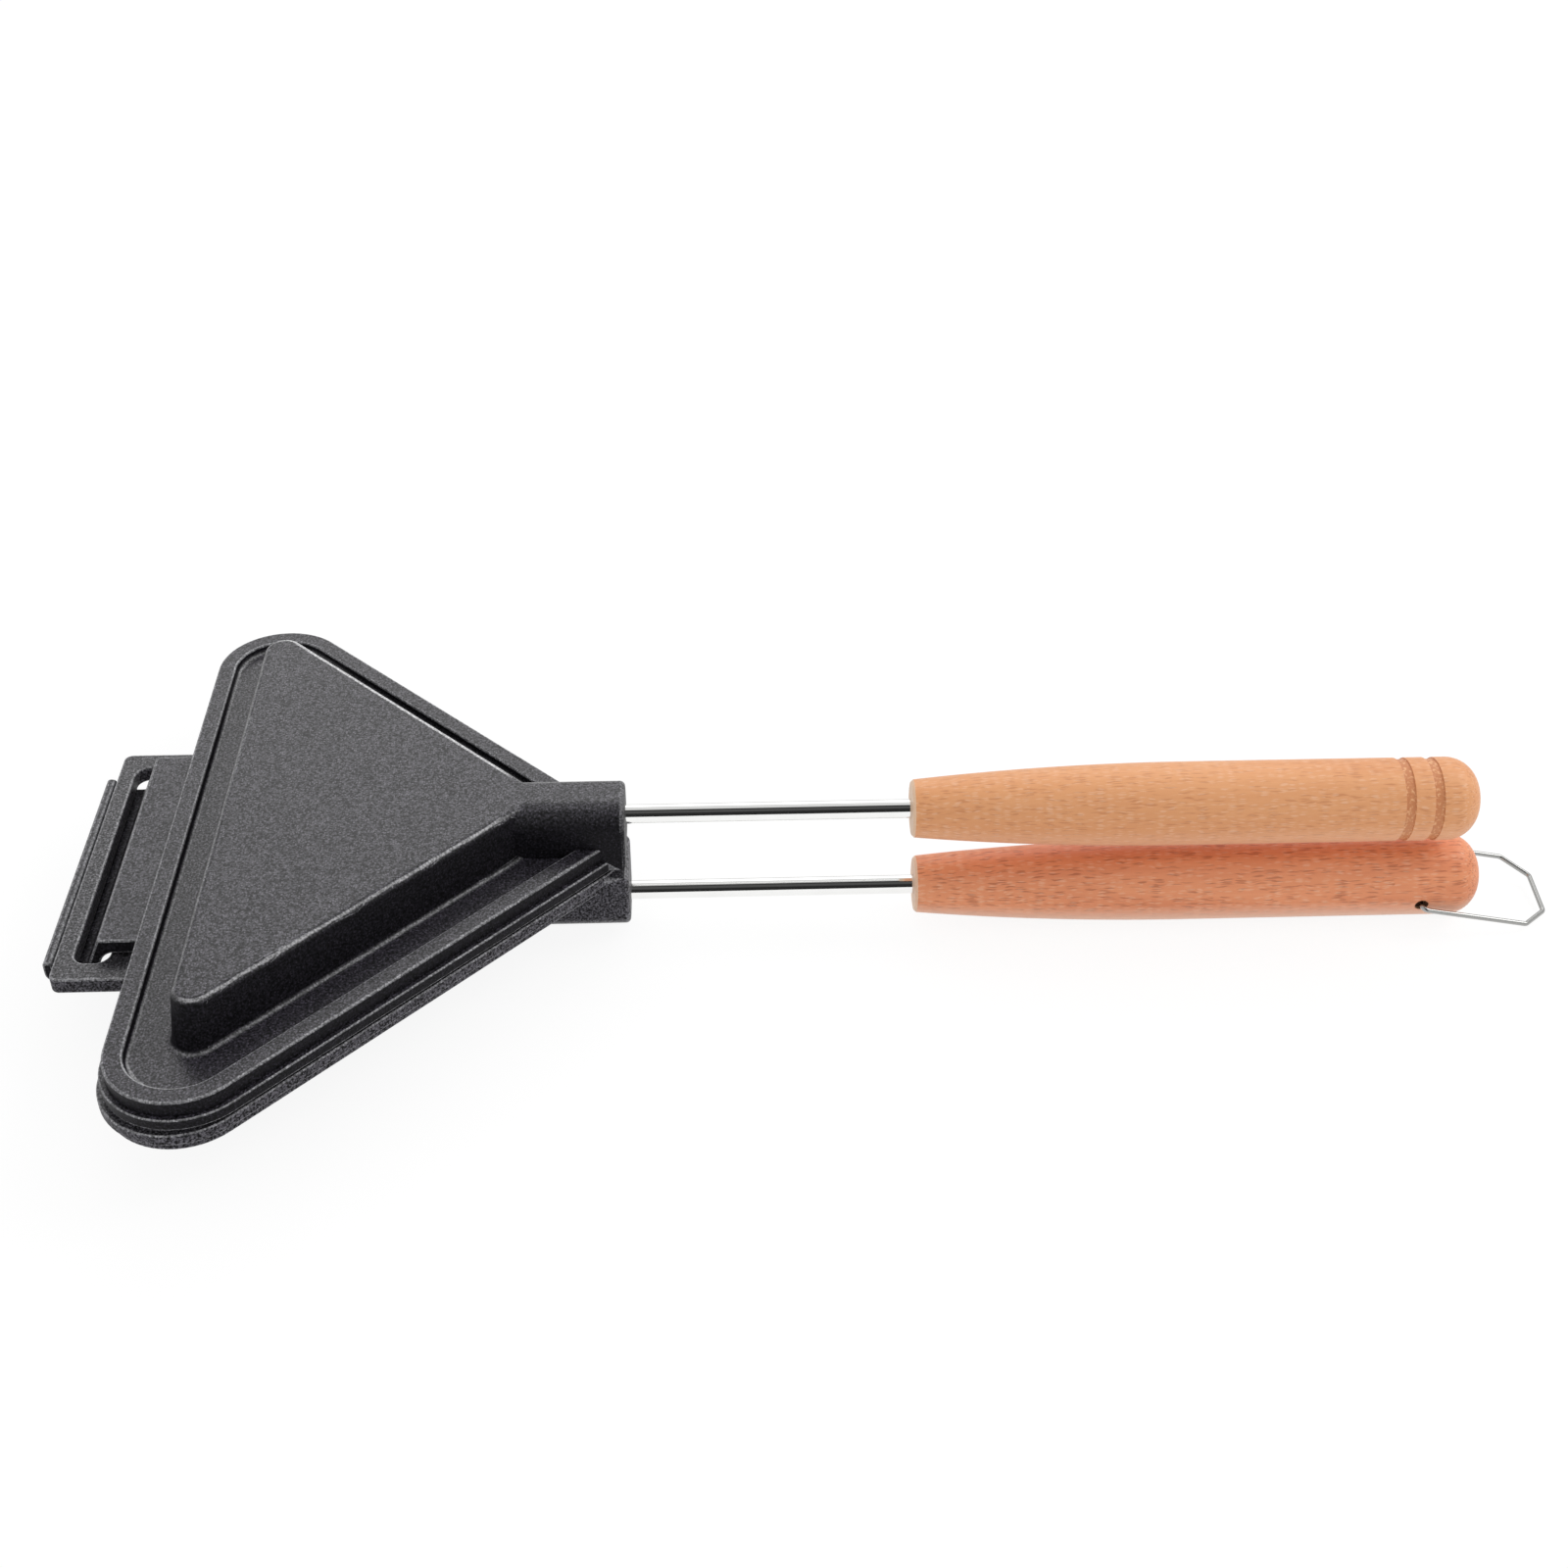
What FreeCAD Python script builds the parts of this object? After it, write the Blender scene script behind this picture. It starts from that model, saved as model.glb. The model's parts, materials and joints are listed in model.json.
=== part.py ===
import FreeCAD, Part
import math
import os

# Double-sided sandwich pan: two cast triangular halves that hook together at one edge,
# each with a steel rod and a turned wooden grip, and a wire loop to hang it by.
# All sizes are millimetres. The sizes are set from the parting plane where the halves meet,
# with the straight rim edge beside the hinge at x = 0 and the handles along +X.

# Outline of one half: a right-angled triangle with rounded corners, its apex at the handle.
# The lower half lies a little nearer to the hinge than the upper one, within the hook's play.
RIM_DEPTH = 118.0
APEX_HALF_ANGLE = 45.0
RIM_CORNER_R = 17.5
RIM_APEX_R = 10.0
LOWER_SET_BACK = 1.3

# Section of the cast rim, from its outer edge inwards
FLANGE_LIP = 1.3
FLANGE_TOP = 3.9
FLANGE_EDGE_R = 0.4
SEAM_GROOVE_HEIGHT = 0.85
SEAM_GROOVE_DEPTH = 1.6
BAND_WIDTH = 4.75
UPPER_BAND_TOP = 8.1
LOWER_BAND_TOP = 6.75
BAND_EDGE_R = 0.6
RECESS_FLOOR = 5.7

# The raised triangular well, and the crimp shelf and cavity inside it
BULGE_BASE_INSET = 14.3
BULGE_TOP_INSET = 15.6
BULGE_TOP = 19.4
BULGE_CORNER_R = 5.2
BULGE_EDGE_R = 2.0
BULGE_FOOT_R = 1.6
CAST_WALL = 2.8
LAND_WIDTH = 5.0
CRIMP_DEPTH = 3.2
CAVITY_EDGE_R = 2.0
SMALLEST_CORNER_R = 0.5
EDGE_SHARE = 0.6

# Rod sockets cast on the apex of each half; each ends a little short of the rim's sharp apex
SOCKET_WIDTH = 17.6
SOCKET_SHOULDER_R = 5.9
UPPER_SOCKET_SHORT = 2.5
LOWER_SOCKET_SHORT = 2.0
SOCKET_EDGE_R = 1.3
SOCKET_FLAT_Z = 1.45

# Rods and grips
ROD_DIAMETER = 5.0
ROD_FIT = 0.05
ROD_END_GAP = 0.2
UPPER_ROD_SHOWN = 72.5
LOWER_ROD_SHOWN = 73.6
ROD_IN_GRIP = 60.0
UPPER_GRIP_LENGTH = 145.0
LOWER_GRIP_LENGTH = 148.2
GRIP_DIAMETER = 21.4
GRIP_FRONT_DIAMETER = 14.8
GRIP_SWELL_LENGTH = 70.0
GRIP_REAR_R = 8.0
GRIP_FRONT_EDGE_R = 0.6
GRIP_GAP = 3.6
RING_WIDTH = 2.5
RING_DEPTH = 0.45
RING_SPACING = 7.35
RING_FROM_REAR = 12.5

# Grub screw that locks each rod, in the flat between the two sockets
SCREW_DIAMETER = 4.0
SCREW_FIT = 0.05
SCREW_LENGTH = 5.0
SCREW_KEY_WIDTH = 2.0
SCREW_KEY_DEPTH = 2.0
SCREW_FROM_END = 9.0

# Lift-off hinge: a slotted plate on the lower half, whose outer bar is the axle
BAR_OFFSET = 18.7
BAR_WIDTH = 4.45
FRAME_TOP = 0.9
FRAME_THICKNESS = 4.4
FRAME_LENGTH = 89.8
FRAME_ARM_WIDTH = 6.0
FRAME_CORNER_R = 2.2
FRAME_EDGE_R = 0.6
FRAME_LIP_GAP = 0.4
SLOT_WIDTH = 8.6
SLOT_CORNER_R = 3.4

# The hook of the upper half: a tongue, a shank that leans down through the slot, and an upturned tip
HOOK_THICKNESS = 2.6
HOOK_CLEARANCE = 0.35
HOOK_END_PLAY = 2.0
HOOK_TIP_WIDTH = 2.55
HOOK_TIP_RISE = 0.3
TONGUE_REACH = 10.1
TONGUE_TOP = 5.9
TONGUE_THICKNESS = 4.0
SHANK_LEAN = 24.0
HOOK_BEND_R = 2.6
HOOK_INNER_R = 0.8
HOOK_ROOT_R = 4.0
HOOK_TIP_R = 1.0
HOOK_END_R = 0.6

# Wire hanging loop, carried in a cross hole of the lower grip
WIRE_DIAMETER = 1.3
HOLE_CLEARANCE = 1.1
HOLE_FROM_REAR = 16.4
HOLE_DROP = 0.65
HOLE_TURN = 7.0
LOOP_DROOP = 12.5
LOOP_SIDE_GAP = 0.85
LOOP_LEG = 29.4
LOOP_REACH = 36.2
LOOP_END_BAR = 12.8
LOOP_BEND_R = 1.6
LOOP_END_DEPTH = 8.0

# Values worked out from the sizes above
HALF_ANGLE = math.radians(APEX_HALF_ANGLE)
GRIP_R = GRIP_DIAMETER / 2
ROD_R = ROD_DIAMETER / 2
WIRE_R = WIRE_DIAMETER / 2
ROD_Z = GRIP_R + GRIP_GAP / 2
UPPER_SOCKET_END = RIM_DEPTH - UPPER_SOCKET_SHORT
LOWER_SOCKET_END = RIM_DEPTH - LOWER_SOCKET_SHORT
UPPER_GRIP_START = UPPER_SOCKET_END + UPPER_ROD_SHOWN
LOWER_GRIP_START = LOWER_SOCKET_END + LOWER_ROD_SHOWN
UPPER_GRIP_END = UPPER_GRIP_START + UPPER_GRIP_LENGTH
LOWER_GRIP_END = LOWER_GRIP_START + LOWER_GRIP_LENGTH
FRAME_LOW = FRAME_TOP - FRAME_THICKNESS
HINGE_Z = FRAME_TOP - FRAME_THICKNESS / 2
BAR_REACH = math.hypot(BAR_WIDTH / 2 - FRAME_EDGE_R, FRAME_THICKNESS / 2 - FRAME_EDGE_R) + FRAME_EDGE_R
HOOK_INNER = BAR_REACH + HOOK_CLEARANCE
HOOK_HALF = FRAME_LENGTH / 2 - FRAME_ARM_WIDTH - HOOK_END_PLAY
HOOK_TIP_X = -BAR_OFFSET - HOOK_INNER - HOOK_TIP_WIDTH
HOLE_X = LOWER_GRIP_END - HOLE_FROM_REAR
HOLE_Z = -ROD_Z - HOLE_DROP
HOLE_R = WIRE_R + HOLE_CLEARANCE
LOOP_HALF_WIDTH = GRIP_R + WIRE_R + LOOP_SIDE_GAP
LOOP_END_X = HOLE_X + LOOP_REACH * math.cos(math.radians(LOOP_DROOP)) + WIRE_R

# The finished part stands on the grips' underside, centred on its length
STAND = FreeCAD.Vector(-(HOOK_TIP_X + LOOP_END_X) / 2, 0, ROD_Z + GRIP_R)

# How near an edge lies to a plane to count as in it
NEARNESS = 1e-4

X_AXIS = FreeCAD.Vector(1, 0, 0)
Z_AXIS = FreeCAD.Vector(0, 0, 1)


def point(x, y, z):
    return FreeCAD.Vector(x, y, z)


def rounded_corner(before, corner, after, radius):
    """Start, middle and end of the arc that rounds one corner of an outline."""
    towards_before = (before - corner).normalize()
    towards_after = (after - corner).normalize()
    half = towards_before.getAngle(towards_after) / 2
    reach = radius / math.tan(half)
    start = corner + towards_before * reach
    end = corner + towards_after * reach
    bisector = (towards_before + towards_after).normalize()
    middle = corner + bisector * (radius / math.sin(half) - radius)
    return start, middle, end


def rounded_edges(corners, radii, closed=True):
    """Straight edges through the corners, with a tangent arc at each corner that has a radius."""
    count = len(corners)
    stations = []
    for index in range(count):
        at_end = index in (0, count - 1) and not closed
        if radii[index] == 0 or at_end:
            stations.append((corners[index], None, corners[index]))
            continue
        before = corners[index - 1]
        after = corners[(index + 1) % count]
        stations.append(rounded_corner(before, corners[index], after, radii[index]))
    edges = []
    for index, (start, middle, end) in enumerate(stations):
        if middle is not None:
            edges.append(Part.Arc(start, middle, end).toShape())
        if closed or index < count - 1:
            edges.append(Part.makeLine(end, stations[(index + 1) % count][0]))
    return edges


def outline(corners, radii):
    return Part.Wire(rounded_edges(corners, radii))


def prism(wire, direction):
    return Part.Face(wire).extrude(direction)


def level_edges(solid, level):
    """Every edge of a solid that lies in one horizontal plane."""
    return [edge for edge in solid.Edges
            if abs(edge.BoundBox.ZMin - level) < NEARNESS and abs(edge.BoundBox.ZMax - level) < NEARNESS]


def fillet_level(solid, radius, level):
    return solid.makeFillet(radius, level_edges(solid, level))


def triangle(inset, base_r, apex_r, z):
    """Rounded triangle, drawn in by one distance from all three sides of the rim."""
    apex_x = RIM_DEPTH - inset / math.sin(HALF_ANGLE)
    half_base = (apex_x - inset) * math.tan(HALF_ANGLE)
    corners = [point(inset, -half_base, z), point(apex_x, 0, z), point(inset, half_base, z)]
    return outline(corners, [base_r, apex_r, base_r])


def triangle_tip(inset, apex_r):
    """Where the rounded apex of such a triangle ends along X."""
    apex_x = RIM_DEPTH - inset / math.sin(HALF_ANGLE)
    return apex_x - apex_r * (1 / math.sin(HALF_ANGLE) - 1)


def rim_outline(inset, z):
    """Rim outline drawn in by one distance, with corners that stay parallel to the outer edge."""
    base_r = max(RIM_CORNER_R - inset, SMALLEST_CORNER_R)
    apex_r = max(RIM_APEX_R - inset, SMALLEST_CORNER_R)
    return triangle(inset, base_r, apex_r, z)


def rim_plate(band_top):
    """Flat rim: a raised band over a wider lip, with the recess inside the band and the seam groove below."""
    band = prism(rim_outline(0, 0), point(0, 0, band_top))
    recess = prism(rim_outline(BAND_WIDTH, RECESS_FLOOR), point(0, 0, band_top - RECESS_FLOOR))
    band = fillet_level(band.cut(recess), BAND_EDGE_R, band_top)
    lip_height = FLANGE_TOP - SEAM_GROOVE_HEIGHT
    lip = prism(rim_outline(-FLANGE_LIP, SEAM_GROOVE_HEIGHT), point(0, 0, lip_height))
    lip = fillet_level(lip, FLANGE_EDGE_R, FLANGE_TOP)
    lip = fillet_level(lip, FLANGE_EDGE_R, SEAM_GROOVE_HEIGHT)
    rise = point(0, 0, SEAM_GROOVE_HEIGHT)
    kept = prism(rim_outline(SEAM_GROOVE_DEPTH - FLANGE_LIP, 0), rise)
    groove = prism(rim_outline(-FLANGE_LIP, 0), rise).cut(kept)
    return band.fuse(lip).cut(groove)


def drafted_well(foot_inset, top_inset, corner_r, foot_z, top_z, edge_r):
    """Closed triangular block whose sides lean in towards the top, with a rounded top edge."""
    foot = triangle(foot_inset, corner_r, corner_r, foot_z)
    top = triangle(top_inset, corner_r, corner_r, top_z)
    block = Part.makeLoft([foot, top], True, True)
    return fillet_level(block, min(edge_r, corner_r * EDGE_SHARE), top_z)


def cavity_space():
    """Space that takes the bread: a shallow crimp shelf under the recess, and the well above it."""
    shelf = prism(rim_outline(LAND_WIDTH, 0), point(0, 0, CRIMP_DEPTH))
    well = drafted_well(BULGE_BASE_INSET + CAST_WALL, BULGE_TOP_INSET + CAST_WALL, cavity_corner_r(),
                        0, BULGE_TOP - CAST_WALL, CAVITY_EDGE_R)
    return shelf.fuse(well)


def cavity_corner_r():
    return max(BULGE_CORNER_R - CAST_WALL / 2, SMALLEST_CORNER_R)


def rod_socket(end_x):
    """Socket on the apex: flat underneath, straight sides and a rounded top level with the well."""
    half = SOCKET_WIDTH / 2
    start_x = triangle_tip(BULGE_TOP_INSET, BULGE_CORNER_R) - half
    corners = [
        point(start_x, -half, SOCKET_FLAT_Z),
        point(start_x, half, SOCKET_FLAT_Z),
        point(start_x, half, BULGE_TOP),
        point(start_x, -half, BULGE_TOP),
    ]
    section = outline(corners, [0, 0, SOCKET_SHOULDER_R, SOCKET_SHOULDER_R])
    socket = prism(section, X_AXIS * (end_x - start_x))
    end_edges = [edge for edge in socket.Edges if edge.BoundBox.XMin > end_x - NEARNESS]
    return socket.makeFillet(SOCKET_EDGE_R, end_edges)


def rod_bore_end():
    """Bottom of the blind bore, one wall short of the cavity's apex."""
    return triangle_tip(BULGE_BASE_INSET + CAST_WALL, cavity_corner_r()) + CAST_WALL


def rim_inset(place):
    """How far a place lies inside the rim's outline, seen from above."""
    side_inset = (RIM_DEPTH - place.x) * math.sin(HALF_ANGLE) - abs(place.y) * math.cos(HALF_ANGLE)
    return min(place.x, side_inset)


def well_foot_edges(body):
    """Edges where the sides of the well meet the recess floor."""
    halfway = (BAND_WIDTH + BULGE_BASE_INSET) / 2
    return [edge for edge in level_edges(body, RECESS_FLOOR) if rim_inset(edge.CenterOfMass) > halfway]


def cast_half(band_top, set_back, socket_end):
    """One cast half, with its open side down on the parting plane."""
    well = drafted_well(BULGE_BASE_INSET, BULGE_TOP_INSET, BULGE_CORNER_R,
                        RECESS_FLOOR, BULGE_TOP, BULGE_EDGE_R)
    body = rim_plate(band_top).fuse(well).removeSplitter()
    body = body.makeFillet(BULGE_FOOT_R, well_foot_edges(body))
    shift = point(-set_back, 0, 0)
    body = body.translated(shift).fuse(rod_socket(socket_end)).removeSplitter()
    body = body.cut(cavity_space().translated(shift))
    bore_x = rod_bore_end()
    bore = Part.makeCylinder(ROD_R + ROD_FIT, socket_end - bore_x, point(bore_x, 0, ROD_Z), X_AXIS)
    screw_foot = point(socket_end - SCREW_FROM_END, 0, 0)
    screw_hole = Part.makeCylinder(SCREW_DIAMETER / 2 + SCREW_FIT, ROD_Z, screw_foot)
    return body.cut(bore).cut(screw_hole)


def shank_face(z):
    """Where the leaning outer face of the hook's shank lies along X at one height."""
    return -TONGUE_REACH - (TONGUE_TOP - z) * math.tan(math.radians(SHANK_LEAN))


def hook_plate():
    """Tongue of the upper half, turned down through the slot, under the bar and up beyond it."""
    tongue_under = TONGUE_TOP - TONGUE_THICKNESS
    inner_floor = HINGE_Z - HOOK_INNER
    outer_floor = inner_floor - HOOK_THICKNESS
    tip_inner = HOOK_TIP_X + HOOK_TIP_WIDTH
    tip_top = HINGE_Z + HOOK_TIP_RISE
    root_x = BAND_WIDTH / 2
    across = HOOK_THICKNESS / math.cos(math.radians(SHANK_LEAN))
    stations = [
        (root_x, TONGUE_TOP, 0),
        (shank_face(TONGUE_TOP), TONGUE_TOP, HOOK_TIP_R),
        (shank_face(inner_floor), inner_floor, HOOK_INNER_R),
        (tip_inner, inner_floor, HOOK_INNER_R),
        (tip_inner, tip_top, HOOK_TIP_R),
        (HOOK_TIP_X, tip_top, HOOK_TIP_R),
        (HOOK_TIP_X, outer_floor, HOOK_BEND_R),
        (shank_face(outer_floor) + across, outer_floor, HOOK_BEND_R),
        (shank_face(tongue_under) + across, tongue_under, HOOK_ROOT_R),
        (root_x, tongue_under, 0),
    ]
    corners = [point(x, -HOOK_HALF, z) for x, z, radius in stations]
    section = outline(corners, [radius for x, z, radius in stations])
    hook = prism(section, point(0, 2 * HOOK_HALF, 0))
    end_edges = [edge for edge in hook.Edges if edge.BoundBox.YLength < NEARNESS]
    return hook.makeFillet(HOOK_END_R, end_edges)


def loop_frame():
    """Slotted plate of the lower half; it steps down under the upper half's lip."""
    outer_x = -BAR_OFFSET - BAR_WIDTH / 2
    slot_x = -BAR_OFFSET + BAR_WIDTH / 2
    web_x = slot_x + SLOT_WIDTH
    half = FRAME_LENGTH / 2
    slot_half = half - FRAME_ARM_WIDTH
    slot_r = min(SLOT_CORNER_R, SLOT_WIDTH / 2 - SMALLEST_CORNER_R)
    plate_corners = [
        point(outer_x, -half, FRAME_LOW),
        point(0, -half, FRAME_LOW),
        point(0, half, FRAME_LOW),
        point(outer_x, half, FRAME_LOW),
    ]
    slot_corners = [
        point(slot_x, -slot_half, FRAME_LOW),
        point(web_x, -slot_half, FRAME_LOW),
        point(web_x, slot_half, FRAME_LOW),
        point(slot_x, slot_half, FRAME_LOW),
    ]
    rise = point(0, 0, FRAME_THICKNESS)
    plate = prism(outline(plate_corners, [FRAME_CORNER_R, 0, 0, FRAME_CORNER_R]), rise)
    frame = plate.cut(prism(outline(slot_corners, [slot_r] * 4), rise))
    frame = fillet_level(frame, FRAME_EDGE_R, FRAME_TOP)
    frame = fillet_level(frame, FRAME_EDGE_R, FRAME_LOW)
    step_x = -FLANGE_LIP - FRAME_LIP_GAP
    step_height = FRAME_TOP + SEAM_GROOVE_HEIGHT
    step = Part.makeBox(-step_x, FRAME_LENGTH, step_height, point(step_x, -half, -SEAM_GROOVE_HEIGHT))
    return frame.cut(step)


def upper_pan():
    return cast_half(UPPER_BAND_TOP, 0, UPPER_SOCKET_END).fuse(hook_plate()).removeSplitter()


def lower_pan():
    cast = cast_half(LOWER_BAND_TOP, LOWER_SET_BACK, LOWER_SOCKET_END)
    turned_over = cast.mirror(point(0, 0, 0), Z_AXIS)
    return turned_over.fuse(loop_frame()).removeSplitter()


def rod(grip_start, z):
    start_x = rod_bore_end() + ROD_END_GAP
    return Part.makeCylinder(ROD_R, grip_start + ROD_IN_GRIP - start_x, point(start_x, 0, z), X_AXIS)


def grub_screw(socket_end):
    """Screw under the rod, its point on the rod and a hexagon key hole at the open end."""
    hole_x = socket_end - SCREW_FROM_END
    tip_z = ROD_Z - ROD_R
    foot_z = tip_z - SCREW_LENGTH
    screw = Part.makeCylinder(SCREW_DIAMETER / 2, SCREW_LENGTH, point(hole_x, 0, foot_z))
    key_r = SCREW_KEY_WIDTH / 2 / math.cos(math.pi / 6)
    key_corners = []
    for side in range(6):
        turn = side * math.pi / 3
        key_corners.append(point(hole_x + key_r * math.cos(turn), key_r * math.sin(turn), foot_z))
    return screw.cut(prism(outline(key_corners, [0] * 6), point(0, 0, SCREW_KEY_DEPTH)))


def turned_grip(start, end, z):
    """Grip turned on a lathe: slim at the rod, swelling to its full width, rounded at the rear."""
    front_r = GRIP_FRONT_DIAMETER / 2
    edge = GRIP_FRONT_EDGE_R
    swell_end = start + GRIP_SWELL_LENGTH
    swell_middle = start + (GRIP_SWELL_LENGTH + edge) / 2
    middle_r = GRIP_R - (GRIP_R - front_r) / 4
    rear_start = end - GRIP_REAR_R
    flat_r = GRIP_R - GRIP_REAR_R
    slant = GRIP_REAR_R * math.sqrt(0.5)
    swell = Part.Arc(point(start + edge, 0, front_r),
                     point(swell_middle, 0, middle_r),
                     point(swell_end, 0, GRIP_R))
    dome = Part.Arc(point(rear_start, 0, GRIP_R),
                    point(rear_start + slant, 0, flat_r + slant),
                    point(end, 0, flat_r))
    profile = [
        Part.makeLine(point(start, 0, 0), point(start, 0, front_r - edge)),
        Part.makeLine(point(start, 0, front_r - edge), point(start + edge, 0, front_r)),
        swell.toShape(),
        Part.makeLine(point(swell_end, 0, GRIP_R), point(rear_start, 0, GRIP_R)),
        dome.toShape(),
        Part.makeLine(point(end, 0, flat_r), point(end, 0, 0)),
        Part.makeLine(point(end, 0, 0), point(start, 0, 0)),
    ]
    grip = Part.Face(Part.Wire(profile)).revolve(point(0, 0, 0), X_AXIS, 360)
    bore = Part.makeCylinder(ROD_R + ROD_FIT, ROD_IN_GRIP + ROD_END_GAP, point(start, 0, 0), X_AXIS)
    return grip.cut(bore).translated(point(0, 0, z))


def upper_grip():
    """Upper grip, with the two shallow turned rings near its rear end."""
    grip = turned_grip(UPPER_GRIP_START, UPPER_GRIP_END, ROD_Z)
    for count in range(2):
        ring_x = UPPER_GRIP_END - RING_FROM_REAR - RING_WIDTH / 2 - count * RING_SPACING
        blank = Part.makeCylinder(GRIP_DIAMETER, RING_WIDTH, point(ring_x, 0, ROD_Z), X_AXIS)
        core = Part.makeCylinder(GRIP_R - RING_DEPTH, RING_WIDTH, point(ring_x, 0, ROD_Z), X_AXIS)
        grip = grip.cut(blank.cut(core))
    return grip


def hole_axis():
    turn = math.radians(HOLE_TURN)
    return point(0, math.cos(turn), math.sin(turn))


def lower_grip():
    """Lower grip, cross-drilled near its rear end for the hanging loop."""
    axis = hole_axis()
    start = point(HOLE_X, 0, HOLE_Z) - axis * GRIP_DIAMETER
    hole = Part.makeCylinder(HOLE_R, 2 * GRIP_DIAMETER, start, axis)
    return turned_grip(LOWER_GRIP_START, LOWER_GRIP_END, -ROD_Z).cut(hole)


def hanging_loop():
    """Bent wire: its two ends sit in the cross hole, its legs straddle the grip, its end is straight."""
    axis = hole_axis()
    droop = math.radians(LOOP_DROOP)
    across = axis.cross(X_AXIS)
    along = X_AXIS * math.cos(droop) + across * math.sin(droop)
    centre = point(HOLE_X, 0, HOLE_Z)
    plan = [
        (0, LOOP_END_DEPTH - LOOP_HALF_WIDTH),
        (0, -LOOP_HALF_WIDTH),
        (LOOP_LEG, -LOOP_HALF_WIDTH),
        (LOOP_REACH, -LOOP_END_BAR / 2),
        (LOOP_REACH, LOOP_END_BAR / 2),
        (LOOP_LEG, LOOP_HALF_WIDTH),
        (0, LOOP_HALF_WIDTH),
        (0, LOOP_HALF_WIDTH - LOOP_END_DEPTH),
    ]
    corners = [centre + along * reach + axis * width for reach, width in plan]
    path = Part.Wire(rounded_edges(corners, [LOOP_BEND_R] * len(corners), closed=False))
    section = Part.Wire(Part.makeCircle(WIRE_R, corners[0], axis))
    return path.makePipeShell([section], True, False)


def main():
    pieces = {
        "upper_pan": upper_pan(),
        "lower_pan": lower_pan(),
        "upper_rod": rod(UPPER_GRIP_START, ROD_Z),
        "lower_rod": rod(LOWER_GRIP_START, -ROD_Z),
        "upper_grub_screw": grub_screw(UPPER_SOCKET_END),
        "lower_grub_screw": grub_screw(LOWER_SOCKET_END).mirror(point(0, 0, 0), Z_AXIS),
        "upper_grip": upper_grip(),
        "lower_grip": lower_grip(),
        "hanging_loop": hanging_loop(),
    }
    os.makedirs("parts", exist_ok=True)
    for name, shape in pieces.items():
        placed = shape.translated(STAND)
        placed.exportStep("parts/" + name + ".step")
        box = placed.BoundBox
        print(name, len(placed.Solids), placed.isValid(), round(placed.Volume, 1),
              [round(value, 2) for value in (box.XMin, box.YMin, box.ZMin, box.XMax, box.YMax, box.ZMax)])
    print("stand", [round(value, 4) for value in STAND])


main()
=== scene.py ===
import json
import math

import bmesh
import bpy
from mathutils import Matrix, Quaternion, Vector


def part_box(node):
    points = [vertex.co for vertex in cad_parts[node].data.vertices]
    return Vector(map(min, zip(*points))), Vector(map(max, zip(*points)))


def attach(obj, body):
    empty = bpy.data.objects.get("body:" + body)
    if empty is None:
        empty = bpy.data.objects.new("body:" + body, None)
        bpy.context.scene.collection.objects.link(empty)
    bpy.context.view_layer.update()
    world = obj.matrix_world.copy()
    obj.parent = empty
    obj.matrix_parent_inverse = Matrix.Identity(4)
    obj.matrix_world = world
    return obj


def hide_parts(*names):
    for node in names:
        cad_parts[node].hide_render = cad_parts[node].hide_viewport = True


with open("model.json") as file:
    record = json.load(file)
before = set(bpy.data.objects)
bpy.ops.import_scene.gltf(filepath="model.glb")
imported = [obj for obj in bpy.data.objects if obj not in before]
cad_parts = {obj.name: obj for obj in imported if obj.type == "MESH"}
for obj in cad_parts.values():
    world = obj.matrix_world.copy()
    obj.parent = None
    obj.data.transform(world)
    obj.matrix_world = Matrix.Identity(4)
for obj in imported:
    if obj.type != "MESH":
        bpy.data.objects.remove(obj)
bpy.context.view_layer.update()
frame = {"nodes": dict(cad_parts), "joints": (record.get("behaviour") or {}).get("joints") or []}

# Double-sided sandwich pan: two coated cast halves hooked together, steel rods, turned beech grips
# and a wire loop. Sizes are metres, and MM turns millimetres into them.
MM = 0.001
JOINTS = {joint["name"]: joint for joint in frame["joints"]}

# Where the picture is taken from, set out from the middle of the hinge bar
CAMERA_FROM_BAR = Vector((155.554, -420.643, 343.304)) * MM
CAMERA_AZIMUTH = -2.554
CAMERA_ELEVATION = 37.314
CAMERA_ROLL = 0.477
CAMERA_LENS = 48.414

# Studio: a white floor, a white surround with a dark strip behind the camera, and two soft boxes
FLOOR_SIZE = 8.0
FLOOR_COLOUR = (0.88, 0.88, 0.88, 1.0)
WHITE = (1.0, 1.0, 1.0, 1.0)
FLOOR_WHITE = 1.05
FLOOR_WHITENESS = 0.85
SURROUND_LIGHT = 0.75
DARK_STRIP_LIGHT = 0.02
DARK_STRIP_INNER = 38.0
DARK_STRIP_OUTER = 50.0
DARK_STRIP_SIDE_INNER = 10.0
DARK_STRIP_SIDE_OUTER = 22.0
LIT_WALL_LIGHT = 0.06
LIT_WALL_RAISE = 16.0
LIT_WALL_INNER = 6.0
LIT_WALL_OUTER = 20.0
BACK_BOX_PLACE = Vector((0.1, 1.0, 0.85))
BACK_BOX_SIZE = (1.6, 0.8)
BACK_BOX_POWER = 4.0
SIDE_BOX_PLACE = Vector((0.75, 0.15, 0.75))
SIDE_BOX_SIZE = (0.45, 0.45)
SIDE_BOX_POWER = 2.4

# Shading of the castings: how near two corners are one, and which edges stay crisp
MERGE_GAP = 2e-6
CRISP_ANGLE = math.radians(32)

# Charcoal coat: grains in a metre, and its bump
GRAINS_PER_METRE = 1700.0
COAT_ROUGHNESS = 0.34
COAT_IOR = 1.75
COAT_SPECULAR = 0.06
COAT_BUMP = 0.45
COAT_BUMP_HEIGHT = 0.15 * MM

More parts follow.
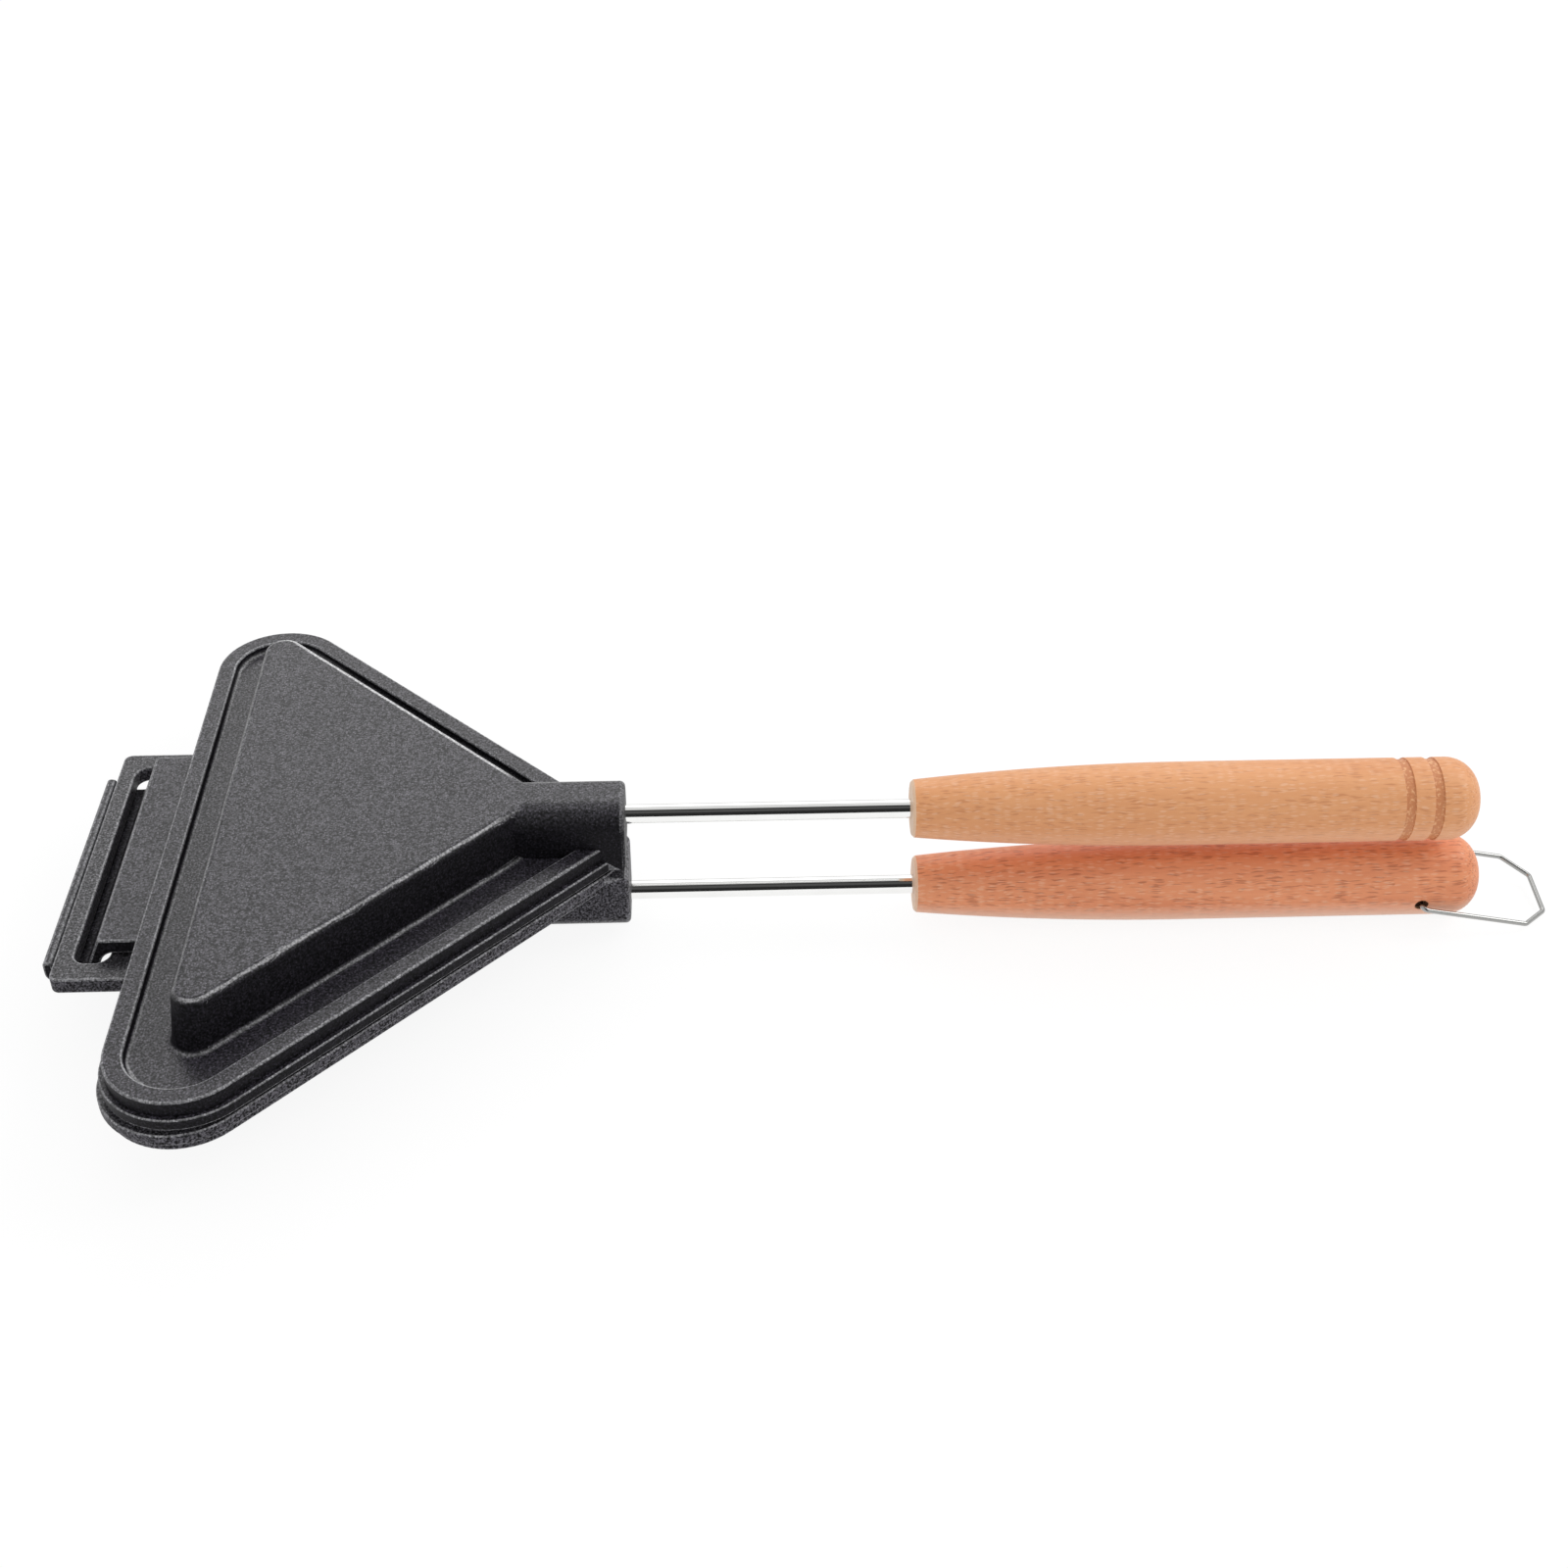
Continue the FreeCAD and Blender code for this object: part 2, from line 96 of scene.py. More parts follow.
# Its edges carry a painted highlight along the handle up to the rod's socket, most of all high up on the far
# side.
# A brink is how level a rounding still is where the painted highlight begins, and inner where it is full.
HIGHLIT_UP_TO = -79.0 * MM
HIGHLIGHT_FADE = 4.0 * MM
HIGHLIT_ABOVE = 15.0 * MM
PARTING_HEIGHT = 23.2 * MM
NEAR_BRINK = 0.94
NEAR_INNER = 0.88
FAR_BRINK = 0.9995
FAR_INNER = 0.985
HINGE_SIDE_HIGHLIGHT = 0.2
NEAR_SIDE_HIGHLIGHT = 0.45
LOW_EDGE_HIGHLIGHT = 0.4
FULL_HIGHLIGHT = 0.95
FINE_EDGE_R = 0.9 * MM

# Colours as read off a screen, from 0 to 255
COAT_BLACK = (12, 12, 13)
COAT_DRIFT = (24, 24, 26)
UPPER_SPECK = (84, 80, 92)
# The lower half's paler speck colour is a painted reflection of the white floor.
LOWER_SPECK_PAINTED_LIGHTER = (112, 110, 117)
PAINTED_HIGHLIGHT_WHITE = (240, 240, 242)
RUBBED_AND_HIGHLIGHT_GREY = (190, 190, 194)
PALE_FLECK = (250, 214, 184)
TORN_FIBRE = (240, 186, 136)
PAINTED_UNDERSIDE_PALE = (255, 212, 186)
# Pale colour of the grips' rod ends: a painted highlight.
PAINTED_FRONT_HIGHLIGHT = (240, 214, 186)
TAN_PALE = (234, 168, 116)
TAN_DEEP = (222, 150, 98)
TAN_FLECK = (186, 112, 66)
TAN_CUT = (200, 126, 78)
RED_PALE = (240, 158, 112)
RED_DEEP = (222, 134, 90)
RED_FLECK = (150, 70, 40)
# Near-black painted shade inside the lower grip's drilled hole.
RED_HOLE_PAINTED_SHADE = (44, 22, 14)

# Turned grips, along the handle from the rod end
GRIP_FRONT_R = 7.4 * MM
GRIP_FRONT_EDGE = 0.6 * MM
GRIP_SWELL = 70.0 * MM
GRIP_REAR_R = 8.0 * MM
GRIP_FACETS = 112
ROD_R = 2.5 * MM
ROD_FIT = 0.05 * MM
ROD_EDGE = 0.4 * MM
ROD_FACETS = 64
RING_WIDTH = 2.5 * MM
RING_DEPTH = 0.45 * MM
RING_SPACING = 7.35 * MM
RING_FROM_REAR = 12.5 * MM
RING_LIP = 0.18 * MM

# Hanging wire and the hole that carries it
WIRE_R = 0.65 * MM
HOLE_R = 1.75 * MM
HOLE_FACETS = 40
LOOP_DROOP = math.radians(12.5)
LOOP_HALF_WIDTH = 12.2 * MM
LOOP_LEG = 29.4 * MM
LOOP_REACH = 36.2 * MM
LOOP_END_BAR = 12.8 * MM
LOOP_BEND_R = 1.6 * MM
LOOP_END_DEPTH = 8.0 * MM


def linear(colour):
    """A colour as read off a screen, as the linear colour that a shader takes."""
    def channel(value):
        share = value / 255
        return share / 12.92 if share <= 0.04045 else ((share + 0.055) / 1.055) ** 2.4
    return tuple(channel(value) for value in colour) + (1.0,)


def cosine(degrees):
    return math.cos(math.radians(degrees))


def sine(degrees):
    return math.sin(math.radians(degrees))


def feed(tree, target, source):
    """Links a socket into another, or sets a plain value on it."""
    if isinstance(source, bpy.types.NodeSocket):
        tree.links.new(source, target)
    else:
        target.default_value = source


def put(tree, kind, feeds=None, **settings):
    """A new node with its settings made, and its sockets fed by name or by number."""
    made = tree.nodes.new(kind)
    for name, value in settings.items():
        setattr(made, name, value)
    for key, source in (feeds or {}).items():
        feed(tree, made.inputs[key], source)
    return made


def sum_of(tree, first, second):
    return put(tree, "ShaderNodeMath", {0: first, 1: second}, operation="ADD").outputs[0]


def product(tree, first, second):
    return put(tree, "ShaderNodeMath", {0: first, 1: second}, operation="MULTIPLY").outputs[0]


def absolute(tree, value):
    return put(tree, "ShaderNodeMath", {0: value}, operation="ABSOLUTE").outputs[0]


def parts_of(tree, vector):
    """The three parts of a vector, along X, Y and Z."""
    return put(tree, "ShaderNodeSeparateXYZ", {0: vector}).outputs


def agreement(tree, first, second):
    """The dot product of two directions."""
    return put(tree, "ShaderNodeVectorMath", {0: first, 1: second}, operation="DOT_PRODUCT").outputs["Value"]


def ramp(tree, value, low, high, to_low=0.0, to_high=1.0, smooth=False):
    """Maps one span of a value onto another, held at both ends."""
    kind = "SMOOTHSTEP" if smooth else "LINEAR"
    feeds = {0: value, 1: low, 2: high, 3: to_low, 4: to_high}
    return put(tree, "ShaderNodeMapRange", feeds, interpolation_type=kind).outputs[0]


def mixed_colour(tree, share, first, second, blend="MIX"):
    feeds = {0: share, 6: first, 7: second}
    return put(tree, "ShaderNodeMix", feeds, data_type="RGBA", blend_type=blend).outputs[2]


def stretched(tree, vector, scale):
    return put(tree, "ShaderNodeMapping", {"Vector": vector, "Scale": scale}).outputs[0]


def noise(tree, vector, scale, detail=2.0, roughness=0.5):
    feeds = {"Vector": vector, "Scale": scale, "Detail": detail, "Roughness": roughness}
    return put(tree, "ShaderNodeTexNoise", feeds).outputs["Fac"]


def new_group(name, inputs, outputs):
    """An empty shader group with its named sockets, and its two end nodes."""
    tree = bpy.data.node_groups.new(name, "ShaderNodeTree")
    for label, kind in inputs:
        tree.interface.new_socket(label, in_out="INPUT", socket_type="NodeSocket" + kind)
    for label, kind in outputs:
        tree.interface.new_socket(label, in_out="OUTPUT", socket_type="NodeSocket" + kind)
    return tree, put(tree, "NodeGroupInput"), put(tree, "NodeGroupOutput")


def new_finish(name):
    """A new material, its tree, its shader and the object's own coordinates."""
    material = bpy.data.materials.new(name)
    material.use_nodes = True
    tree = material.node_tree
    shader = tree.nodes["Principled BSDF"]
    own = put(tree, "ShaderNodeTexCoord").outputs
    return material, tree, shader, own


def use_group(tree, group, feeds):
    made = put(tree, "ShaderNodeGroup", node_tree=group)
    for key, source in feeds.items():
        feed(tree, made.inputs[key], source)
    return made.outputs


def set_bump(tree, shader, height, strength, distance):
    feeds = {"Height": height, "Strength": strength, "Distance": distance}
    feed(tree, shader.inputs["Normal"], put(tree, "ShaderNodeBump", feeds).outputs["Normal"])


def cast_grain_group():
    """Grain of a sprayed coat on a casting: pale specks, small pits and slow drifts of tone."""
    tree, given, result = new_group(
        "cast_grain",
        [("Place", "Vector"), ("Grains per metre", "Float")],
        [("Specks", "Float"), ("Drift", "Float"), ("Height", "Float")],
    )
    place = given.outputs["Place"]
    count = given.outputs["Grains per metre"]
    grain = noise(tree, place, count, 2.0, 0.65)
    cells = put(tree, "ShaderNodeTexVoronoi", {"Vector": place, "Scale": count}).outputs
    chance = put(tree, "ShaderNodeSeparateColor", {0: cells["Color"]}).outputs[0]
    dots = product(tree, ramp(tree, cells["Distance"], 0.5, 0.2), ramp(tree, chance, 0.25, 0.95))
    both = sum_of(tree, product(tree, ramp(tree, grain, 0.36, 0.64), 0.5), product(tree, dots, 0.8))
    feed(tree, result.inputs["Specks"], ramp(tree, both, 0.1, 0.9))
    feed(tree, result.inputs["Drift"], noise(tree, place, product(tree, count, 0.011), 3.0))
    feed(tree, result.inputs["Height"], both)
    return tree


def beech_figure_group():
    """Figure of turned beech: slow bands, fine fibres along the grip, and short dark and pale flecks."""
    tree, given, result = new_group(
        "beech_figure",
        [
            ("Place", "Vector"),
            ("Pale colour", "Color"),
            ("Deep colour", "Color"),
            ("Fleck colour", "Color"),
            ("Fleck strength", "Float"),
            ("Band strength", "Float"),
        ],
        [("Colour", "Color"), ("Height", "Float"), ("Roughness", "Float")],
    )
    place = given.outputs["Place"]
    bands = noise(tree, stretched(tree, place, (9.0, 95.0, 95.0)), 1.0, 3.0, 0.55)
    fibres = noise(tree, stretched(tree, place, (85.0, 1700.0, 1700.0)), 1.0, 2.0, 0.6)
    banded = product(tree, ramp(tree, bands, 0.35, 0.68, smooth=True), given.outputs["Band strength"])
    tone = mixed_colour(tree, banded, given.outputs["Pale colour"], given.outputs["Deep colour"])
    streak = ramp(tree, fibres, 0.3, 0.7)
    tone = mixed_colour(tree, product(tree, streak, 0.35), tone, given.outputs["Deep colour"])
    wander = noise(tree, stretched(tree, place, (160.0, 420.0, 420.0)), 1.0, 2.0)
    sway = product(tree, wander, 1.2 * MM)
    swayed = put(tree, "ShaderNodeVectorMath", {0: place, 1: sway}, operation="ADD").outputs[0]
    dark = flecks(tree, swayed, (230.0, 2300.0, 2300.0), 0.4)
    strength = product(tree, dark, given.outputs["Fleck strength"])
    tone = mixed_colour(tree, strength, tone, given.outputs["Fleck colour"])
    pale = flecks(tree, stretched(tree, swayed, (1.3, 1.2, 1.1)), (300.0, 2300.0, 2300.0), 0.45)
    tone = mixed_colour(tree, product(tree, pale, 0.3), tone, linear(PALE_FLECK))
    feed(tree, result.inputs["Colour"], tone)
    relief = sum_of(tree, product(tree, fibres, 0.4), product(tree, dark, -0.6))
    feed(tree, result.inputs["Height"], relief)
    feed(tree, result.inputs["Roughness"], ramp(tree, fibres, 0.2, 0.8, 0.38, 0.56))
    return tree


def flecks(tree, place, scale, rarity):
    """Short marks along the grain: stretched cells, of which only some are kept."""
    cells = put(tree, "ShaderNodeTexVoronoi", {"Vector": stretched(tree, place, scale), "Scale": 1.0})
    inside = ramp(tree, cells.outputs["Distance"], 0.55, 0.25, smooth=True)
    chosen = put(tree, "ShaderNodeSeparateColor", {0: cells.outputs["Color"]}).outputs[0]
    return product(tree, inside, ramp(tree, chosen, rarity, rarity + 0.2))


def drawn_lines_group():
    """Fine lines that drawing or polishing leaves along a steel bar."""
    tree, given, result = new_group(
        "drawn_lines",
        [("Place", "Vector"), ("Lines per metre", "Float")],
        [("Line", "Float"), ("Cloud", "Float")],
    )
    place = stretched(tree, given.outputs["Place"], (0.012, 1.0, 1.0))
    feed(tree, result.inputs["Line"], noise(tree, place, given.outputs["Lines per metre"], 2.0, 0.6))
    feed(tree, result.inputs["Cloud"], noise(tree, given.outputs["Place"], 140.0, 3.0, 0.6))
    return tree


def painted_edge_highlight(tree, own, level):
    """Mask of the painted highlight on the eased edges, by the side that they face and by their height."""
    flatten = {0: own["Normal"], 1: (1.0, 1.0, 0.0)}
    flat = put(tree, "ShaderNodeVectorMath", flatten, operation="MULTIPLY").outputs[0]
    plan = put(tree, "ShaderNodeVectorMath", {0: flat}, operation="NORMALIZE").outputs[0]
    heading = parts_of(tree, plan)
    spot = parts_of(tree, own["Object"])
    far_side = ramp(tree, heading[1], 0.2, 0.5)
    brink = ramp(tree, far_side, 0.0, 1.0, NEAR_BRINK, FAR_BRINK)
    inner = ramp(tree, far_side, 0.0, 1.0, NEAR_INNER, FAR_INNER)
    eased = product(tree, ramp(tree, level, 0.62, 0.76), ramp(tree, level, brink, inner))
    eased = product(tree, eased, ramp(tree, spot[0], HIGHLIT_UP_TO, HIGHLIT_UP_TO - HIGHLIGHT_FADE))
    hinge_side = ramp(tree, heading[0], -0.2, -0.7, 1.0, HINGE_SIDE_HIGHLIGHT)
    near_side = ramp(tree, heading[1], 0.1, -0.5, 1.0, NEAR_SIDE_HIGHLIGHT)
    lift = absolute(tree, sum_of(tree, spot[2], -PARTING_HEIGHT))
    at_top = ramp(tree, lift, HIGHLIT_ABOVE, HIGHLIT_ABOVE + HIGHLIGHT_FADE / 2, LOW_EDGE_HIGHLIGHT, 1.0)
    return product(tree, product(tree, eased, at_top), product(tree, hinge_side, near_side))


def nonstick_coat(name, grain_group, speck, painted_slope_light):
    """Charcoal non-stick coat, glossier on level faces, with specks scaled on steep faces as painted light
    and a painted highlight along its edges.
    """
    material, tree, shader, own = new_finish(name)
    grain = use_group(tree, grain_group, {"Place": own["Object"], "Grains per metre": GRAINS_PER_METRE})
    specks = grain["Specks"]
    level = absolute(tree, parts_of(tree, own["Normal"])[2])
    # Painted light by slope: steep faces get fewer pale specks on the upper half (painted shade) and more on
    # the lower half (painted reflection of the floor).
    slope_lit_specks = product(tree, specks, ramp(tree, level, 0.3, 0.97, painted_slope_light, 1.0))
    tone = mixed_colour(tree, slope_lit_specks, linear(COAT_BLACK), linear(speck))
    drift = product(tree, ramp(tree, grain["Drift"], 0.3, 0.7), 0.15)
    tone = mixed_colour(tree, drift, tone, linear(COAT_DRIFT))
    # Painted highlight: the eased edges are mixed towards white by the side that they face and by their
    # height.
    painted_edge_light = product(tree, painted_edge_highlight(tree, own, level), ramp(tree, specks, 0.05, 0.5, 0.4, 1.0))
    tone = mixed_colour(tree, product(tree, painted_edge_light, FULL_HIGHLIGHT), tone, linear(PAINTED_HIGHLIGHT_WHITE))
    # Narrow convex roundings go pale grey: partly rubbed coat, partly a painted highlight.
    fine_edge = put(tree, "ShaderNodeAttribute", attribute_name="fine_edge").outputs["Fac"]
    rubbed_and_highlit = product(tree, fine_edge, ramp(tree, specks, 0.0, 1.0, 0.15, 0.75))
    tone = mixed_colour(tree, rubbed_and_highlit, tone, linear(RUBBED_AND_HIGHLIGHT_GREY))
    feed(tree, shader.inputs["Base Color"], tone)
    feed(tree, shader.inputs["Roughness"], ramp(tree, specks, 0.0, 1.0, 0.36, 0.5))
    gloss = product(tree, ramp(tree, level, 0.3, 0.7), ramp(tree, specks, 0.0, 0.8, 0.4, 1.0))
    feed(tree, shader.inputs["Coat Weight"], gloss)
    shader.inputs["Coat Roughness"].default_value = COAT_ROUGHNESS
    shader.inputs["Coat IOR"].default_value = COAT_IOR
    shader.inputs["Specular IOR Level"].default_value = COAT_SPECULAR
    set_bump(tree, shader, grain["Height"], COAT_BUMP, COAT_BUMP_HEIGHT)
    return material


def beech(name, node, figure_group, pale, deep, fleck, fleck_strength, band_strength, cut, painted_underside_light):
    """Oiled beech of one grip, lighter towards its lower side as painted light from the floor, with its
    turned or drilled cuts (the drilled hole in painted shade) and a painted highlight on its front end.
    """
    material, tree, shader, own = new_finish(name)
    figure = use_group(tree, figure_group, {
        "Place": own["Object"],
        "Pale colour": linear(pale),
        "Deep colour": linear(deep),
        "Fleck colour": linear(fleck),
        "Fleck strength": fleck_strength,
        "Band strength": band_strength,
    })
    in_cut = put(tree, "ShaderNodeAttribute", attribute_name="cut").outputs["Fac"]
    at_front = put(tree, "ShaderNodeAttribute", attribute_name="front_end").outputs["Fac"]
    torn = noise(tree, own["Object"], 1300.0, 2.0, 0.6)
    # On the upper grip the cut colour is the rings' own tone; on the lower grip it is painted shade inside
    # the drilled hole.
    rough_cut_and_shade = mixed_colour(tree, ramp(tree, torn, 0.52, 0.68), linear(cut), linear(TORN_FIBRE))
    height = parts_of(tree, own["Object"])[2]
    middle = middle_height(node)
    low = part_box(node)[0].z
    # Painted light: the grip's lower side is mixed towards a pale colour, standing in for light from the
    # white floor.
    painted_underside_share = ramp(tree, height, middle, middle * 0.35 + low * 0.65, 0.0, painted_underside_light)
    tone = mixed_colour(tree, painted_underside_share, figure["Colour"], linear(PAINTED_UNDERSIDE_PALE))
    tone = mixed_colour(tree, product(tree, in_cut, 0.85), tone, rough_cut_and_shade)
    # Painted highlight: the rod end's face and eased edge are mixed towards a pale colour.
    tone = mixed_colour(tree, product(tree, at_front, 0.7), tone, linear(PAINTED_FRONT_HIGHLIGHT))
    feed(tree, shader.inputs["Base Color"], tone)
    feed(tree, shader.inputs["Roughness"], figure["Roughness"])
    relief = sum_of(tree, figure["Height"], product(tree, in_cut, product(tree, torn, 1.5)))
    set_bump(tree, shader, relief, 0.3, 0.1 * MM)
    return material


def steel(name, lines_group, colour, roughness, lines_per_metre):
    """Bright steel with faint drawn lines."""
    material, tree, shader, own = new_finish(name)
    lines = use_group(tree, lines_group, {"Place": own["Object"], "Lines per metre": lines_per_metre})
    shader.inputs["Metallic"].default_value = 1.0
    paler = tuple(min(1.0, value * 1.1) for value in colour[:3]) + (1.0,)
    feed(tree, shader.inputs["Base Color"], mixed_colour(tree, lines["Cloud"], colour, paler))
    brushed = ramp(tree, lines["Line"], 0.3, 0.7, roughness * 0.7, roughness * 1.4)
    feed(tree, shader.inputs["Roughness"], brushed)
    set_bump(tree, shader, lines["Line"], 0.08, 0.02 * MM)
    return material


def new_tree(name, inputs):
    """An empty geometry tree that takes a shape and named sizes and gives a shape."""
    tree = bpy.data.node_groups.new(name, "GeometryNodeTree")
    tree.interface.new_socket("Shape", in_out="INPUT", socket_type="NodeSocketGeometry")
    for label, kind in inputs:
        tree.interface.new_socket(label, in_out="INPUT", socket_type="NodeSocket" + kind)
    tree.interface.new_socket("Piece", in_out="OUTPUT", socket_type="NodeSocketGeometry")
    return tree, put(tree, "NodeGroupInput"), put(tree, "NodeGroupOutput")


def end_tree(tree, result, shape, finish):
    """Closes a tree: smooth shading, real geometry and the piece's finish."""
    smooth = put(tree, "GeometryNodeSetShadeSmooth", {"Geometry": shape})
    real = put(tree, "GeometryNodeRealizeInstances", {"Geometry": smooth.outputs[0]})
    dressed = put(tree, "GeometryNodeSetMaterial", {"Geometry": real.outputs[0], "Material": finish})
    feed(tree, result.inputs["Piece"], dressed.outputs[0])


def lathe_tree():
    """Turns a profile, drawn as points (along, 0, radius), round a level axis along X."""
    tree, given, result = new_tree(
        "turned_on_a_lathe", [("Facets round", "Int"), ("Axis height", "Float"), ("Finish", "Material")])
    count = put(tree, "GeometryNodeAttributeDomainSize", {0: given.outputs["Shape"]}).outputs["Point Count"]
    around = sum_of(tree, given.outputs["Facets round"], 1.0)
    grid = put(tree, "GeometryNodeMeshGrid",
               {"Size X": 1.0, "Size Y": 1.0, "Vertices X": count, "Vertices Y": around}).outputs["Mesh"]
    spot = put(tree, "GeometryNodeInputPosition").outputs[0]
    flat = parts_of(tree, spot)
    along = sum_of(tree, flat[0], 0.5)
    last = sum_of(tree, count, -1.0)
    station = put(tree, "ShaderNodeMath", {0: product(tree, along, last)}, operation="ROUND").outputs[0]
    drawn = put(tree, "GeometryNodeSampleIndex", data_type="FLOAT_VECTOR", domain="POINT")
    feed(tree, drawn.inputs["Geometry"], given.outputs["Shape"])
    feed(tree, drawn.inputs["Value"], put(tree, "GeometryNodeInputPosition").outputs[0])
    feed(tree, drawn.inputs["Index"], station)
    profile = parts_of(tree, drawn.outputs["Value"])
    turn = product(tree, sum_of(tree, flat[1], 0.5), math.tau)
    sideways = put(tree, "ShaderNodeMath", {0: turn}, operation="COSINE").outputs[0]
    upwards = put(tree, "ShaderNodeMath", {0: turn}, operation="SINE").outputs[0]
    height = sum_of(tree, product(tree, profile[2], upwards), given.outputs["Axis height"])
    aside = product(tree, profile[2], sideways)
    place = put(tree, "ShaderNodeCombineXYZ", {0: profile[0], 1: aside, 2: height})
    turned = put(tree, "GeometryNodeSetPosition", {"Geometry": grid, "Position": place.outputs[0]})
    joining = {"Geometry": turned.outputs[0], "Distance": MERGE_GAP}
    closed = put(tree, "GeometryNodeMergeByDistance", joining)
    end_tree(tree, result, closed.outputs[0], given.outputs["Finish"])
    return tree


def bent_wire_tree():
    """Round wire along a line of corners, bent to one radius at each of them."""
    tree, given, result = new_tree(
        "bent_wire", [("Wire radius", "Float"), ("Bend radius", "Float"), ("Finish", "Material")])
    line = put(tree, "GeometryNodeMeshToCurve", {0: given.outputs["Shape"]}).outputs[0]
    bent = put(tree, "GeometryNodeFilletCurve", mode="POLY")
    feed(tree, bent.inputs["Curve"], line)
    feed(tree, bent.inputs["Count"], 10)
    feed(tree, bent.inputs["Radius"], given.outputs["Bend radius"])
    section = put(tree, "GeometryNodeCurvePrimitiveCircle",
                  {"Resolution": 24, "Radius": given.outputs["Wire radius"]}).outputs["Curve"]
    wire = put(tree, "GeometryNodeCurveToMesh",
               {"Curve": bent.outputs[0], "Profile Curve": section, "Fill Caps": True}).outputs[0]
    end_tree(tree, result, wire, given.outputs["Finish"])
    return tree


def grown(name, points, tree, sizes):
    """Draws a line through the points, runs a geometry tree on it and returns the mesh."""
    drawing = bpy.data.meshes.new(name + "_drawing")
    drawing.from_pydata(points, [(index, index + 1) for index in range(len(points) - 1)], [])
    holder = bpy.data.objects.new(name + "_drawing", drawing)
    bpy.context.scene.collection.objects.link(holder)
    modifier = holder.modifiers.new("tree", "NODES")
    modifier.node_group = tree
    for item in tree.interface.items_tree:
        if item.in_out == "INPUT" and item.name in sizes:
            modifier[item.identifier] = sizes[item.name]
    mesh = plain_mesh(holder, name)
    bpy.data.objects.remove(holder)
    return mesh


def plain_mesh(piece, name):
    """The mesh of an object with its modifiers carried out."""
    bpy.context.view_layer.update()
    scene_graph = bpy.context.evaluated_depsgraph_get()
    mesh = bpy.data.meshes.new_from_object(piece.evaluated_get(scene_graph), depsgraph=scene_graph)
    mesh.name = name
    return mesh


def tidy_shell(mesh, gap):
    """Merges doubles, turns every face outwards and keeps only the sharp edges crisp."""
    shell = bmesh.new()
    shell.from_mesh(mesh)
    bmesh.ops.remove_doubles(shell, verts=shell.verts, dist=gap)
    bmesh.ops.dissolve_degenerate(shell, edges=shell.edges, dist=gap)
    bmesh.ops.recalc_face_normals(shell, faces=shell.faces)
    for face in shell.faces:
        face.smooth = True
    for edge in shell.edges:
        edge.smooth = edge.is_manifold and edge.calc_face_angle() < CRISP_ANGLE
    shell.to_mesh(mesh)
    shell.free()
    if "custom_normal" in mesh.attributes:
        mesh.attributes.remove(mesh.attributes["custom_normal"])


def flat_shaded(mesh, name, material):
    """A piece whose wide faces keep their own light, by normals weighted with the faces' areas."""
    piece = bpy.data.objects.new(name, mesh)
    bpy.context.scene.collection.objects.link(piece)
    modifier = piece.modifiers.new("even_light", "WEIGHTED_NORMAL")
    modifier.keep_sharp = True
    piece.data = plain_mesh(piece, name)
    piece.modifiers.clear()
    piece.data.materials.clear()
    piece.data.materials.append(material)
    return piece


def mark_faces(mesh, name, chosen):
    """Marks the faces whose middle passes a test, for the finish to read."""
    marks = mesh.attributes.new(name, "FLOAT", "FACE")
    for face in mesh.polygons:
        marks.data[face.index].value = 1.0 if chosen(face.center) else 0.0


def mark_fine_edges(mesh):
    """Marks the narrow roundings along the edges of a casting, which the coat shows pale grey: rubbed, and
    with a painted highlight.
    """
    shell = bmesh.new()
    shell.from_mesh(mesh)
    shell.faces.ensure_lookup_table()
    painted_edge_light = [0.0] * len(shell.faces)
    for edge in shell.edges:
        length = edge.calc_length()
        if not edge.is_manifold or length == 0.0:
            continue
        width = sum(face.calc_area() for face in edge.link_faces) / length
        bend = edge.calc_face_angle_signed() * FINE_EDGE_R / max(width, MERGE_GAP)
        for face in edge.link_faces:
            painted_edge_light[face.index] = max(painted_edge_light[face.index], min(1.0, max(0.0, 2 * bend - 1)))
    shell.free()
    marks = mesh.attributes.new("fine_edge", "FLOAT", "FACE")
    marks.data.foreach_set("value", painted_edge_light)


def seat(piece, node, body):
    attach(piece, body)
    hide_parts(node)
    return piece


def cast_half(node, body, coat):
    """One coated casting, with its solid's shape."""
    mesh = frame["nodes"][node].data.copy()
    tidy_shell(mesh, MERGE_GAP)
    piece = flat_shaded(mesh, node + "_casting", coat)
    mark_fine_edges(piece.data)
    return seat(piece, node, body)


def arc(centre, radius, start, end, steps):
    """Points of an arc in a turning profile, as (along, radius)."""
    points = []
    for step in range(steps + 1):
        angle = math.radians(start + (end - start) * step / steps)
        points.append((centre[0] + radius * math.cos(angle), centre[1] + radius * math.sin(angle)))
    return points


def swell(front, rear, full_r, steps):
    """Points of the long belly of a grip: one arc from its slim end to its full width."""
    length = rear - front
    rise = full_r - GRIP_FRONT_R
    sag = rise / 4
    points = []
    for step in range(steps + 1):
        share = step / steps
        points.append((front + length * share, GRIP_FRONT_R + rise * share + 4 * sag * share * (1 - share)))
    return points


def ring_cut(along, full_r):
    """Points of one shallow turned ring, with its lips eased."""
    floor = full_r - RING_DEPTH
    return [
        (along - RING_LIP, full_r),
        (along, full_r - RING_LIP * 0.4),
        (along + RING_LIP * 0.5, floor + RING_DEPTH * 0.2),
        (along + RING_LIP * 1.5, floor),
        (along + RING_WIDTH - RING_LIP * 1.5, floor),
        (along + RING_WIDTH - RING_LIP * 0.5, floor + RING_DEPTH * 0.2),
        (along + RING_WIDTH, full_r - RING_LIP * 0.4),
        (along + RING_WIDTH + RING_LIP, full_r),
    ]


